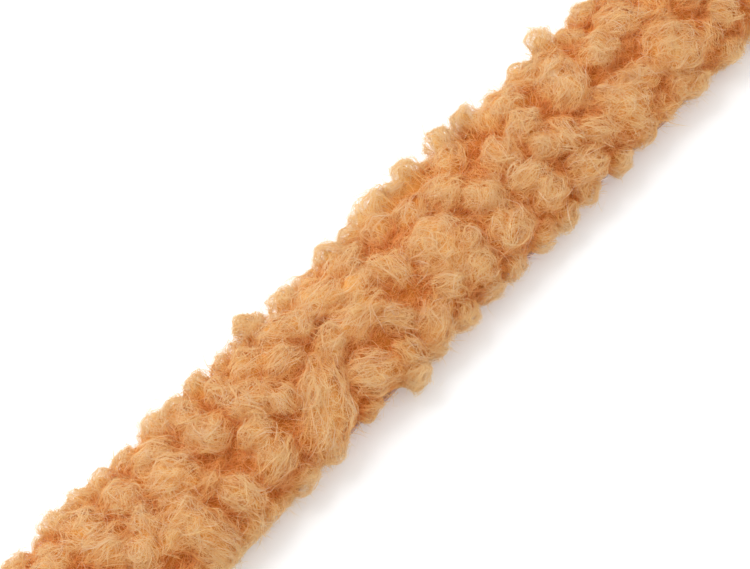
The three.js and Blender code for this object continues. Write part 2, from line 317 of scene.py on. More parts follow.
def leaves(start, way, halves):
    """Where rays leave an ellipsoid for good; both are given in its own directions. 0 if they miss."""
    o = start / halves
    v = way / halves
    a = np.sum(v * v, axis=-1)
    b = np.sum(o * v, axis=-1)
    c = np.sum(o * o, axis=-1) - 1
    root = b * b - a * c
    return np.where(root > 0, (np.sqrt(np.maximum(root, 0)) - b) / a, 0)


def pile_reach(start, way, merge=MERGE):
    """How far rays from the axis run before they are past the pile. It fills the clefts where curls meet."""
    down = way[:, 2] < 0
    core_halves = np.full_like(way, END_ROUNDING - CORE_END)
    core_halves[:, 1] = CORE_HALF_WIDTH
    core_halves[:, 2] = np.where(down, CORE_LOWER_HALF_HEIGHT, CORE_HALF_HEIGHT)
    total = np.exp(leaves(np.zeros_like(start), way, core_halves) / merge)
    for centre, turn, halves, size in zip(CENTRES, TURNS, HALVES, CURL_SIZES):
        near = np.abs(start[:, 0] - centre[0]) < END_ROUNDING + size
        total[near] += np.exp(leaves((start[near] - centre) @ turn.T, way[near] @ turn.T, halves) / merge)
    reach = merge * np.log(total)
    reach[down] = np.minimum(reach[down], (AXIS_HEIGHT - PILE_FLOOR) / -way[down, 2])
    return reach


def ray(tip, around):
    """The direction of a ray. tip turns it towards an end of the trim, in degrees like around."""
    flat = np.cos(np.radians(tip))
    return unit(np.stack([
        math.sqrt(END_ROUNDING) * np.sin(np.radians(tip)),
        math.sqrt(HALF_WIDTH) * flat * np.cos(np.radians(around)),
        math.sqrt(HALF_HEIGHT) * flat * np.sin(np.radians(around)),
    ], axis=-1))


# %% How deep a point lies
def depth_of(points):
    """0 on the pile's outline and 1 down at the core."""
    past = np.maximum(0, np.abs(points[..., 0]) - STRAIGHT)
    y = points[..., 1]
    z = points[..., 2] - AXIS_HEIGHT
    outer_z = z / np.where(z > 0, HALF_HEIGHT, LOWER_HALF_HEIGHT)
    inner_z = z / np.where(z > 0, CORE_HALF_HEIGHT, CORE_LOWER_HALF_HEIGHT)
    radius = np.sqrt((past / END_ROUNDING) ** 2 + (y / HALF_WIDTH) ** 2 + outer_z ** 2)
    core = np.sqrt((past / (END_ROUNDING - CORE_END)) ** 2 + (y / CORE_HALF_WIDTH) ** 2 + inner_z ** 2)
    return np.clip((1 - radius) / np.maximum(core - radius, 1e-6), 0, 1)


# %% Lumps smaller than a curl
LUMP = 0.45
LUMP_LENGTHS = (2.6, 3.3, 4.2, 5.1, 6.3, 7.7)
# Each wave runs another way than the one before, by these angles, and starts elsewhere
WAVE_TURNS = (1.7, 2.9, 4.1)
WAVE_STARTS = (1, 0, 2)
WAVE_PHASE = 1.3


def lumps(points):
    """A height that comes and goes over a few millimetres, the same for all fibres at one place."""
    height = np.zeros(points.shape[:-1])
    for k, length in enumerate(LUMP_LENGTHS):
        turns = [turn * k + start for turn, start in zip(WAVE_TURNS, WAVE_STARTS)]
        way = unit(np.array([math.sin(turns[0]), math.cos(turns[1]), math.sin(turns[2])]))
        height = height + np.sin(2 * np.pi * (points @ way) / length + WAVE_PHASE * k)
    return LUMP * height / math.sqrt(len(LUMP_LENGTHS))


# %% Make the undercoat's mesh
SKIN_STEP = 1.25
SKIN_RAYS = 84
SKIN_END_RINGS = 12
SKIN_BELOW = 0.45


def add_object(name, points, faces, smooth=True):
    """A mesh object from points in millimetres."""
    mesh = bpy.data.meshes.new(name)
    mesh.from_pydata((np.asarray(points) * MM).tolist(), [], [list(face) for face in faces])
    if smooth:
        mesh.shade_smooth()
    else:
        mesh.shade_flat()
    thing = bpy.data.objects.new(name, mesh)
    bpy.context.scene.collection.objects.link(thing)
    return thing


def ring_faces(rings, count):
    """Quads between neighbouring rings of points, and a fan to one point at each end."""
    at = 1 + np.arange(rings * count).reshape(rings, count)
    turned = np.roll(at, -1, axis=1)
    sides = np.stack([at[:-1], turned[:-1], turned[1:], at[1:]], axis=-1).reshape(-1, 4)
    last = 1 + rings * count
    first_fan = np.stack([np.zeros(count, int), turned[0], at[0]], axis=-1)
    last_fan = np.stack([np.full(count, last), at[-1], turned[-1]], axis=-1)
    return sides.tolist() + first_fan.tolist() + last_fan.tolist()


def lowest_near(reach):
    """Each reach cut to the least of its neighbours', so that steep walls stay behind the fibres."""
    least = np.minimum.reduce([np.roll(reach, shift, axis=1) for shift in (-1, 0, 1)])
    padded = np.pad(least, ((1, 1), (0, 0)), mode="edge")
    return np.minimum.reduce([padded[:-2], padded[1:-1], padded[2:]])


def make_undercoat():
    """One closed skin: rings along the trim, and rings that close over the two rounded ends."""
    ends = 90 * np.arange(1, SKIN_END_RINGS) / SKIN_END_RINGS
    middle = np.linspace(-STRAIGHT, STRAIGHT, round(2 * STRAIGHT / SKIN_STEP) + 1)
    xs = np.concatenate([np.full(len(ends), -STRAIGHT), middle, np.full(len(ends), STRAIGHT)])
    tips = np.concatenate([-ends[::-1], np.zeros(len(middle)), ends])
    turns = np.arange(SKIN_RAYS) * 360 / SKIN_RAYS
    x = np.concatenate([[-STRAIGHT], np.repeat(xs, SKIN_RAYS), [STRAIGHT]])
    tip = np.concatenate([[-90], np.repeat(tips, SKIN_RAYS), [90]])
    around = np.concatenate([[0], np.tile(turns, len(xs)), [0]])
    start = np.stack([x, np.zeros_like(x), np.full_like(x, AXIS_HEIGHT)], axis=-1)
    way = ray(tip, around)
    reach = pile_reach(start, way)
    reach[1:-1] = lowest_near(reach[1:-1].reshape(len(xs), SKIN_RAYS)).ravel()
    reach = reach - SKIN_BELOW
    points = start + way * reach[:, None]
    points = points + way * lumps(points)[:, None]
    points[:, 2] = np.maximum(points[:, 2], PILE_FLOOR)
    made = add_object("undercoat", points, ring_faces(len(xs), SKIN_RAYS))
    depth = made.data.attributes.new("depth", "FLOAT", "POINT")
    depth.data.foreach_set("value", depth_of(points).astype(np.float32))
    return made


undercoat = make_undercoat()
print("undercoat faces:", len(undercoat.data.polygons))

# %% [markdown]
# ## The curled fibres
#
# A real curl is a bundle of fibres that heat has set in coils. On its outside they lie in arcs about
# one pole, like the lines of latitude on a globe, but loosely, for each lock has a pole of its own
# near that of its curl. Where the pole faces us we see a whorl, and where it lies flat we see stripes
# over a loaf. Hair particles would draw such fibres, but they aren't mesh. So each fibre is a thin
# tapering ribbon, and thousands are joined into one mesh.
#
# A guide runs round its pole. A few fibres follow each guide, because real fibres cling into fine
# locks with darker gaps between them. Where curls meet, the pile fills the cleft between them, so the
# fibres there are moved out with it. A grid over the trim holds how far.

# %% Which points are buried inside the pile
rng = np.random.default_rng(7)
# Squared distance from the middle of a curl, as a share of its surface's, inside which fibres don't show
BURIED = 0.8


def buried(points, own):
    """Whether each point lies inside the core, or inside any curl but its own."""
    y = points[:, 1] / CORE_HALF_WIDTH
    z = points[:, 2] - AXIS_HEIGHT
    z = z / np.where(z > 0, CORE_HALF_HEIGHT, CORE_LOWER_HALF_HEIGHT)
    inside = (y * y + z * z < BURIED) & (np.abs(points[:, 0]) < STRAIGHT)
    inside |= points[:, 2] < PILE_FLOOR
    for i in range(CURLS):
        beside = np.abs(points[:, 0] - CENTRES[i, 0]) < HALVES[i].max()
        near = np.flatnonzero(beside & (own != i) & ~inside)
        local = (points[near] - CENTRES[i]) @ TURNS[i].T / HALVES[i]
        inside[near] = np.sum(local * local, axis=1) < BURIED
    return inside


# %% The skin on a grid
GRID_STEP = 0.5
GRID_RAYS = 240
# So small a merge that the curls aren't merged at all
ONE_CURL = 0.05
BRIDGE_TIMES = 18
# Keeps the nearest grid row before the last one, so there is always a next
BEFORE_LAST = 1.001


def skin_grid(merge):
    """The pile's reach on a grid of places along the trim and angles around it."""
    xs = np.linspace(-STRAIGHT, STRAIGHT, round(2 * STRAIGHT / GRID_STEP) + 1)
    turns = np.arange(GRID_RAYS) * 360 / GRID_RAYS
    x, around = (part.ravel() for part in np.meshgrid(xs, turns, indexing="ij"))
    start = np.stack([x, np.zeros_like(x), np.full_like(x, AXIS_HEIGHT)], axis=-1)
    return pile_reach(start, ray(np.zeros_like(x), around), merge).reshape(len(xs), GRID_RAYS)


def softened(grid, times):
    """The grid with each value averaged with its neighbours' again and again."""
    for _ in range(times):
        grid = (np.roll(grid, 1, axis=1) + 2 * grid + np.roll(grid, -1, axis=1)) / 4
        padded = np.pad(grid, ((1, 1), (0, 0)), mode="edge")
        grid = (padded[:-2] + 2 * grid + padded[2:]) / 4
    return grid


# The pile's reach, how much of it fills clefts, and a smoother skin that spans the clefts
REACH = skin_grid(MERGE)
FILLED = REACH - skin_grid(ONE_CURL)
BRIDGED = np.maximum(REACH, softened(REACH, BRIDGE_TIMES))
print("clefts are filled by up to", round(float(FILLED.max()), 2), "mm")
print("and bridged by up to", round(float((BRIDGED - REACH).max()), 2), "mm")


def on_grid(grid, x, around):
    """A value of the grid at any place, read between the nearest four."""
    i = np.clip((x + STRAIGHT) / GRID_STEP, 0, len(grid) - BEFORE_LAST)
    j = (around % 360) / 360 * GRID_RAYS
    i0 = i.astype(int)
    j0 = j.astype(int) % GRID_RAYS
    j1 = (j0 + 1) % GRID_RAYS
    a = i - i0
    b = j - j.astype(int)
    near = grid[i0, j0] * (1 - b) + grid[i0, j1] * b
    far = grid[i0 + 1, j0] * (1 - b) + grid[i0 + 1, j1] * b
    return near * (1 - a) + far * a


def raise_from_clefts(points):
    """Points on the curls, moved out with the pile that fills the clefts."""
    y = points[..., 1] / math.sqrt(HALF_WIDTH)
    z = (points[..., 2] - AXIS_HEIGHT) / math.sqrt(HALF_HEIGHT)
    around = np.degrees(np.arctan2(z, y))
    way = ray(np.zeros_like(around), around)
    return points + way * on_grid(FILLED, points[..., 0], around)[..., None]


# %% The pole of each curl and the way its fibres turn
POLE_TILTS = (25, 60, 85)
POLE_TILT_SHARES = (0.35, 0.25, 0.4)
POLE_TILT_SPREAD = 8
# A curl longer than this has its pole across it and nearly flat, like a loaf
LONG_CURL = 1.28
LONG_CURL_TILT = 82
LONG_CURL_SWING_SPREAD = 0.25


def curl_poles():
    """A pole for each curl in its own directions, from facing outwards to lying flat."""
    tilt = rng.choice(POLE_TILTS, size=CURLS, p=POLE_TILT_SHARES)
    tilt = np.radians(tilt + rng.normal(0, POLE_TILT_SPREAD, CURLS))
    swing = rng.uniform(0, 2 * np.pi, CURLS)
    long_ones = HALVES[:, 0] / HALVES[:, 1] > LONG_CURL
    tilt[long_ones] = np.radians(LONG_CURL_TILT)
    swing[long_ones] = np.pi / 2 + rng.normal(0, LONG_CURL_SWING_SPREAD, long_ones.sum())
    return np.stack([np.sin(tilt) * np.cos(swing), np.sin(tilt) * np.sin(swing), np.cos(tilt)], axis=-1)


POLES = curl_poles()
SPIN = rng.choice([-1.0, 1.0], CURLS)
# Any direction serves, as angles round a pole are measured from it
ROUND_FROM = np.array([0.31, 0.77, 0.56])


def place_on_curl(own, pole, theta, psi, height):
    """Points on curls, from the angle off a pole, the angle round it, and the height in mm."""
    side = unit(np.cross(pole, ROUND_FROM))
    other = np.cross(pole, side)
    ball = np.cos(theta)[..., None] * pole[:, None]
    ball = ball + (np.sin(theta) * np.cos(psi))[..., None] * side[:, None]
    ball = ball + (np.sin(theta) * np.sin(psi))[..., None] * other[:, None]
    halves = HALVES[own][:, None]
    local = ball * (halves + height[..., None])
    points = CENTRES[own][:, None] + np.einsum("fsk,fkj->fsj", local, TURNS[own])
    normals = unit(np.einsum("fsk,fkj->fsj", ball / halves, TURNS[own]))
    return points, normals


# %% Guides, of which those in the open are kept
POLE_SCATTER = 0.45
NEAREST_TO_POLE = 0.25
WIDEST_SWEEP = 4.2
DRIFT = 0.25
PROBES = np.array([0.2, 0.5, 0.8])
PROBES_BURIED = 1
WIDEST_LOOP = 0.9


def guides_round(own, pole, theta, spin, length):
    """Guides with a random start and length, less those that are mostly buried."""
    count = len(own)
    psi = rng.uniform(0, 2 * np.pi, count)
    run = rng.uniform(*length, count)
    sweep = spin * np.minimum(run / (CURL_SIZES[own] * np.sin(theta)), WIDEST_SWEEP)
    drift = rng.normal(0, DRIFT, count)
    angle = theta[:, None] + drift[:, None] * PROBES
    turn = psi[:, None] + sweep[:, None] * PROBES
    points, _ = place_on_curl(own, pole, angle, turn, np.zeros_like(angle))
    hidden = sum(buried(points[:, k], own).astype(int) for k in range(len(PROBES)))
    keep = hidden <= PROBES_BURIED
    parts = {
        "own": own,
        "pole": pole,
        "theta": theta,
        "psi": psi,
        "sweep": sweep,
        "drift": drift,
        "run": run,
    }
    return {name: part[keep] for name, part in parts.items()}


def some_curls(count):
    """Curls drawn by their size."""
    area = HALVES[:, 0] * HALVES[:, 1] + CURL_SIZES * HALVES[:, 2]
    return rng.choice(CURLS, size=count, p=area / area.sum())


def swirl_guides(tries, length):
    """Guides that turn about poles near that of their curl."""
    own = some_curls(tries)
    pole = unit(POLES[own] + rng.normal(0, POLE_SCATTER, (tries, 3)))
    theta = np.clip(np.arccos(rng.uniform(-1, 1, tries)), NEAREST_TO_POLE, np.pi - NEAREST_TO_POLE)
    return guides_round(own, pole, theta, SPIN[own], length)


def loop_guides(tries, length, radius):
    """Guides that make a small loop anywhere on their curl."""
    own = some_curls(tries)
    pole = unit(rng.normal(0, 1, (tries, 3)))
    theta = np.arcsin(np.minimum(rng.uniform(*radius, tries) / CURL_SIZES[own], WIDEST_LOOP))
    return guides_round(own, pole, theta, rng.choice([-1, 1], tries), length)


# %% Fibres that follow the guides
LOCK_OPENING = (0.5, 1.8)
START_SCATTER = 0.5
PHASE_SCATTER = 0.8
LAYER = -0.05
LAYER_OF_LOCK = 0.25
LAYER_OF_FIBRE = 0.15
TIP_LIFT = 0.3
TIP_LIFT_POWER = 1.5
# How far a fibre's wave goes up and down, next to how far it goes sideways
BOB = 0.5
BOB_PHASE = 1.7
STRAY_LIFT = 0.9
MOST_STRAY_LIFT = 3
TONE = 0.45
TONE_OF_LOCK = 0.18
TONE_OF_FIBRE = 0.14
STRAY_TONE = 0.15


def fibres_on_curls(guides, locks, clump, steps, spread, wave, wave_length, stray):
    """Paths and normals of the fibres, a few to each lock, and their tones."""
    g = {name: np.repeat(part[:locks], clump, axis=0) for name, part in guides.items()}
    locks = min(locks, len(guides["own"]))
    fibres = locks * clump
    size = CURL_SIZES[g["own"]]
    t = np.linspace(0, 1, steps + 1)
    opening = np.repeat(rng.uniform(*LOCK_OPENING, locks), clump)
    aside = rng.normal(0, spread, fibres)[:, None] * (1 + (opening - 1)[:, None] * t)
    phase = np.repeat(rng.uniform(0, 2 * np.pi, locks), clump) + rng.normal(0, PHASE_SCATTER, fibres)
    waves = 2 * np.pi * g["run"][:, None] / wave_length * t
    aside = aside + wave * np.sin(waves + phase[:, None])
    angle = g["theta"][:, None] + g["drift"][:, None] * t + aside / size[:, None]
    start = g["psi"] + rng.normal(0, START_SCATTER, fibres) / size
    turn = start[:, None] + g["sweep"][:, None] * t
    layer = np.repeat(rng.normal(LAYER, LAYER_OF_LOCK, locks), clump)
    layer = layer + rng.normal(0, LAYER_OF_FIBRE, fibres)
    lift = np.repeat(np.abs(rng.normal(0, TIP_LIFT, locks)), clump)
    loose = rng.random(fibres) < stray
    lift = lift + np.where(loose, rng.exponential(STRAY_LIFT, fibres).clip(0, MOST_STRAY_LIFT), 0)
    bob = BOB * wave * np.cos(waves + BOB_PHASE * phase[:, None])
    height = layer[:, None] + lift[:, None] * t ** TIP_LIFT_POWER + bob
    paths, normals = place_on_curl(g["own"], g["pole"], angle, turn, height)
    paths = raise_from_clefts(paths)
    paths = paths + normals * lumps(paths)[..., None]
    tone = np.repeat(rng.normal(TONE, TONE_OF_LOCK, locks), clump)
    tone = tone + rng.normal(0, TONE_OF_FIBRE, fibres) + STRAY_TONE * loose
    return paths, normals, np.clip(tone, 0, 1)


# %% Ribbons from paths
TAPER = 0.75
TAPER_POWER = 3
LOWEST_FIBRE = 0.1
FIBRE_ROLL = 0.6


def ribbon_mesh(name, paths, normals, tone, width, roll):
    """One mesh of thin ribbons, each along a path, tapering to its tip."""
    fibres, stations = paths.shape[:2]
    tangent = unit(np.gradient(paths, axis=1))
    normal = unit(normals - np.sum(normals * tangent, axis=-1, keepdims=True) * tangent)
    binormal = np.cross(tangent, normal)
    side = np.cos(roll)[:, None, None] * binormal + np.sin(roll)[:, None, None] * normal
    along = np.linspace(0, 1, stations)
    half = 0.5 * width[:, None] * (1 - TAPER * along ** TAPER_POWER)
    edges = np.stack([paths - side * half[..., None], paths + side * half[..., None]], axis=2)
    edges[..., 2] = np.maximum(edges[..., 2], LOWEST_FIBRE)
    points = edges.reshape(-1, 3) * MM
    at = np.arange(fibres * stations * 2).reshape(fibres, stations, 2)
    corners = [at[:, :-1, 0], at[:, :-1, 1], at[:, 1:, 1], at[:, 1:, 0]]
    quads = np.stack(corners, axis=-1).reshape(-1, 4)
    mesh = bpy.data.meshes.new(name)
    mesh.vertices.add(len(points))
    mesh.vertices.foreach_set("co", points.astype(np.float32).ravel())
    mesh.loops.add(quads.size)
    mesh.loops.foreach_set("vertex_index", quads.astype(np.int32).ravel())
    mesh.polygons.add(len(quads))
    mesh.polygons.foreach_set("loop_start", (4 * np.arange(len(quads))).astype(np.int32))
    mesh.update(calc_edges=True)
    mesh.shade_smooth()
    values = {
        "tone": np.repeat(tone, stations * 2),
        "along": np.tile(np.repeat(along, 2), fibres),
        "depth": np.repeat(depth_of(paths).ravel(), 2),
    }
    for label, value in values.items():
        mesh.attributes.new(label, "FLOAT", "POINT").data.foreach_set("value", value.astype(np.float32))
    thing = bpy.data.objects.new(name, mesh)
    bpy.context.scene.collection.objects.link(thing)
    return thing


def fibre_pieces(name, pieces, fibres, width):
    """Fibres in meshes from one end of the trim to the other, so no mesh gets too large."""
    paths, normals, tone = fibres
    order = np.argsort(paths[:, 0, 0])
    made = []
    for k, part in enumerate(np.array_split(order, pieces)):
        widths = rng.uniform(*width, len(part))
        roll = rng.normal(0, FIBRE_ROLL, len(part))
        made.append(ribbon_mesh(f"{name}_{k + 1}", paths[part], normals[part], tone[part], widths, roll))
    print(name, "faces a piece:", [len(piece.data.polygons) for piece in made])
    return made


# %% Make the swirling fibres
SWIRL_TRIES = 62000
SWIRL_LOCKS = 11400
SWIRL_LENGTH = (3.5, 7.0)
SWIRL_WIDTH = (0.07, 0.135)

swirls = swirl_guides(SWIRL_TRIES, SWIRL_LENGTH)
print("guides in the open:", len(swirls["own"]))
swirl_fibres = fibre_pieces("swirl_fibres", 2, fibres_on_curls(
    swirls, SWIRL_LOCKS, clump=4, steps=4, spread=0.28, wave=0.22, wave_length=5.0, stray=0.04,
), SWIRL_WIDTH)

# %% [markdown]
# ## The small loops
#
# Over the swirls lie fibres that heat has curled more tightly. They make small loops in any direction,
# and some stand off the pile as frizz, which softens its outline. They could be modelled as rings, but
# no loop closes on itself. So they are guides as before, round poles of their own and close to them.

# %% Make the small loops and the frizz
LOOP_TRIES = 42000
LOOP_LOCKS = 6600
LOOP_LENGTH = (2.4, 4.8)
LOOP_RADIUS = (0.6, 2.0)
LOOP_WIDTH = (0.06, 0.1)

loops = loop_guides(LOOP_TRIES, LOOP_LENGTH, LOOP_RADIUS)
print("guides in the open:", len(loops["own"]))
loop_fibres = fibre_pieces("loop_fibres", 2, fibres_on_curls(
    loops, LOOP_LOCKS, clump=3, steps=6, spread=0.3, wave=0.16, wave_length=2.8, stray=0.4,
), LOOP_WIDTH)

# %% [markdown]
# ## The matted fibres between the curls
#
# Down in the gaps fibres wander from curl to curl. They follow the skin of the pile, in directions that
# change slowly from place to place, so they are drawn on the same rays as the undercoat. Many of them
# hang across a gap instead of dipping into it. Each fibre has its own share of that: it lies somewhere
# between the skin and the smoother one that spans the clefts.

# %% Paths that wander over the skin
MAT_FIBRES = 26500
MAT_STEPS = 5
MAT_LENGTH = (2.5, 6.0)
MAT_AROUND = (-30, 210)
MAT_END_GAP = 1
MAT_CHOICE = 4
MAT_ON_TOP = 0.3
BRIDGE_BIAS = 1.3
# Two slow waves turn the heading of the fibres: how far, and how fast along the trim and around it
SWAY = (1.4, 1.7)
SWAY_ALONG = (0.23, -0.31)
SWAY_AROUND = (0.07, 0.05)
MAT_SCATTER = 0.7
MAT_CURVE = 3.0
# Millimetres across the skin are turned into degrees as if it were this far from the axis
MAT_RADIUS = 12


def mat_starts(count):
    """Places on the skin, more of them down in the gaps, where no curl's own fibres lie."""
    x = rng.uniform(-STRAIGHT + MAT_END_GAP, STRAIGHT - MAT_END_GAP, MAT_CHOICE * count)
    around = rng.uniform(*MAT_AROUND, MAT_CHOICE * count)
    start = np.stack([x, np.zeros_like(x), np.full_like(x, AXIS_HEIGHT)], axis=-1)
    skin = start + ray(np.zeros_like(x), around) * on_grid(REACH, x, around)[:, None]
    wanted = MAT_ON_TOP + depth_of(skin)
    chosen = rng.choice(len(x), size=count, replace=False, p=wanted / wanted.sum())
    return x[chosen], around[chosen]


def mat_paths(height):
    """Fibres that wander over the skin at a height of each point, with their outward directions."""
    x, around = mat_starts(MAT_FIBRES)
    heading = SWAY[0] * np.sin(SWAY_ALONG[0] * x + SWAY_AROUND[0] * around)
    heading = heading + SWAY[1] * np.cos(SWAY_AROUND[1] * around + SWAY_ALONG[1] * x)
    heading = heading + rng.normal(0, MAT_SCATTER, MAT_FIBRES)
    turn = rng.normal(0, MAT_CURVE, MAT_FIBRES)
    pace = rng.uniform(*MAT_LENGTH, MAT_FIBRES) / MAT_STEPS
    middle = (np.arange(MAT_STEPS) + 0.5) / MAT_STEPS
    angle = heading[:, None] + turn[:, None] * middle
    first = np.zeros((MAT_FIBRES, 1))
    shift = np.concatenate([first, np.cumsum(np.cos(angle), axis=1) * pace[:, None]], axis=1)
    spin = np.concatenate([first, np.cumsum(np.sin(angle), axis=1) * pace[:, None]], axis=1)
    xs = x[:, None] + shift
    turns = around[:, None] + spin * (180 / np.pi / MAT_RADIUS)
    way = ray(np.zeros_like(xs), turns)
    start = np.stack([xs, np.zeros_like(xs), np.full_like(xs, AXIS_HEIGHT)], axis=-1)
    skin = on_grid(REACH, xs, turns)
    bridge = rng.random(MAT_FIBRES)[:, None] ** BRIDGE_BIAS
    skin = skin + bridge * (on_grid(BRIDGED, xs, turns) - skin)
    paths = start + way * (skin + height)[..., None]
    return paths + way * lumps(paths)[..., None], way


# %% Make the matted fibres
MAT_LAYER = -0.1
MAT_LAYER_SPREAD = 0.2
MAT_TIP_LIFT = 0.35
MAT_WIDTH = (0.06, 0.11)
SINGLE_TONE_SPREAD = 0.2


def single_tones(count):
    """Tones of fibres that lie on their own and not in a lock."""
    return np.clip(rng.normal(TONE, SINGLE_TONE_SPREAD, count), 0, 1)


def matted_fibres():
    t = np.linspace(0, 1, MAT_STEPS + 1)
    lift = np.abs(rng.normal(0, MAT_TIP_LIFT, MAT_FIBRES))
    height = rng.normal(MAT_LAYER, MAT_LAYER_SPREAD, MAT_FIBRES)[:, None] + lift[:, None] * t ** 2
    paths, normals = mat_paths(height)
    return paths, normals, single_tones(MAT_FIBRES)


matted = fibre_pieces("matted_fibres", 2, matted_fibres(), MAT_WIDTH)

# %% [markdown]
# ## The two ends
#
# The pile rounds over both ends of the tape. The undercoat closes them, but by itself it would look like
# a bare skin. So fibres wander over each rounded end in the same way, on rays from the end of the axis.
# The grid stops where the rounding starts, so each point asks the curls how far the pile reaches.

# %% Cover the two ends
END_FIBRES = 2200
END_STEPS = 5
END_TURN = 0.35
END_PACE = (0.05, 0.12)
END_AROUND = (-50, 230)
END_LAYER_SPREAD = 0.2
END_TIP_LIFT = 0.5
END_WIDTH = (0.09, 0.15)


def end_paths():
    """Fibres that wander over the rounded ends, with their outward directions."""
    side = rng.choice([-1.0, 1.0], END_FIBRES)
    tip = np.degrees(np.arcsin(rng.random(END_FIBRES)))
    way = ray(side * tip, rng.uniform(*END_AROUND, END_FIBRES))
    heading = unit(rng.normal(0, 1, (END_FIBRES, 3)))
    pace = rng.uniform(*END_PACE, (END_FIBRES, 1))
    turn = rng.normal(0, END_TURN, (END_FIBRES, 1))
    ways = [way]
    for _ in range(END_STEPS):
        heading = unit(heading - np.sum(heading * way, axis=-1, keepdims=True) * way)
        heading = unit(heading + turn * np.cross(way, heading))
        way = unit(way + pace * heading)
        ways.append(way)
    ways = np.stack(ways, axis=1)
    start = np.zeros_like(ways)
    start[..., 0] = side[:, None] * STRAIGHT
    start[..., 2] = AXIS_HEIGHT
    reach = pile_reach(start.reshape(-1, 3), ways.reshape(-1, 3)).reshape(ways.shape[:2])
    t = np.linspace(0, 1, END_STEPS + 1)
    layer = rng.normal(0, END_LAYER_SPREAD, END_FIBRES)
    lift = np.abs(rng.normal(0, END_TIP_LIFT, END_FIBRES))
    height = layer[:, None] + lift[:, None] * t ** 2
    paths = start + ways * (reach + height)[..., None]
    return paths + ways * lumps(paths)[..., None], ways


def make_end_fibres():
    paths, normals = end_paths()
    tone = single_tones(END_FIBRES)
    width = rng.uniform(*END_WIDTH, END_FIBRES)
    roll = rng.normal(0, FIBRE_ROLL, END_FIBRES)
    return ribbon_mesh("end_fibres", paths, normals, tone, width, roll)


end_fibres = make_end_fibres()
print("end fibre faces:", len(end_fibres.data.polygons))

# %% [markdown]
# ## The tape
#
# The ground is a thin knit, cut along both sides with scissors, so its edges wander. Nearly all of it
# is hidden by the pile, but for the underside and a stretch of the front edge. A plain plate would
# have edges that are too straight and an underside that is too smooth. So its two faces are grids of
# points, the lower one with the fine ribs of the knit, and walls join them all round into a closed slab.

# %% Make the tape
TAPE_ACROSS = 72
TAPE_ALONG = 60
RIB_PITCH = 1.6
RIB_DEPTH = 0.12
# A slow wave and a quick one make the edges wander, and each edge starts them elsewhere
SLOW_WANDER = 0.17
QUICK_WANDER = 0.61
QUICK_SHARE = 0.5
BACK_EDGE = 1.0
FRONT_EDGE = 2.0


def tape_edge(x, edge):
    """The half width of the tape at x: its cut edges wander by a fraction of a millimetre."""
    wobble = np.sin(SLOW_WANDER * x + edge) + QUICK_SHARE * np.sin(QUICK_WANDER * x + 2 * edge)
    return TAPE_WIDTH / 2 + TAPE_WANDER * wobble


def make_tape():
    """A closed slab: a flat upper face, a ribbed lower one, and walls round the rim."""
    xs = np.linspace(-1, 1, TAPE_ALONG) * (TRIM_LENGTH / 2 - TAPE_INSET)
    across = np.linspace(-1, 1, TAPE_ACROSS)
    x, v = np.meshgrid(xs, across, indexing="ij")
    y = v * np.where(v > 0, tape_edge(x, BACK_EDGE), tape_edge(x, FRONT_EDGE))
    top = np.stack([x, y, np.full_like(x, TAPE_THICKNESS)], axis=-1).reshape(-1, 3)
    rib = RIB_DEPTH * (0.5 - 0.5 * np.cos(2 * np.pi * y / RIB_PITCH))
    under = np.stack([x, y, rib], axis=-1).reshape(-1, 3)
    at = np.arange(TAPE_ALONG * TAPE_ACROSS).reshape(TAPE_ALONG, TAPE_ACROSS)
    quads = np.stack([at[:-1, :-1], at[1:, :-1], at[1:, 1:], at[:-1, 1:]], axis=-1).reshape(-1, 4)
    low = quads[:, ::-1] + at.size
    rim = np.concatenate([at[:, 0], at[-1, 1:], at[-2::-1, -1], at[0, -2:0:-1]])
    next_on_rim = np.roll(rim, -1)
    walls = np.stack([rim + at.size, next_on_rim + at.size, next_on_rim, rim], axis=-1)
    faces = quads.tolist() + low.tolist() + walls.tolist()
    return add_object("ground_tape", np.concatenate([top, under]), faces)


tape = make_tape()
print("tape faces:", len(tape.data.polygons))

# %% [markdown]
# ## The pile along the cut edges
#
# Pile is knitted into the ground right up to its cut edges. There it stands out over them and hides
# them from above, but for the bare stretch. The curls could be set lower to do the same, but they are
# too thick for it. So single fibres are rooted on the tape. They lean outwards and sink as they go.

# %% Make the pile along the edges
EDGE_FIBRES = 6500
EDGE_STEPS = 4
EDGE_LENGTH = (3.0, 6.0)
EDGE_ROOTS = 2.6
EDGE_RISE = (30, 95)
EDGE_LEAN = 35
EDGE_CURL = 60
EDGE_FACING_UP = 0.5
EDGE_WIDTH = (0.07, 0.12)
# The share of its fibres that the bare stretch keeps
BARE_LEFT = 0.12


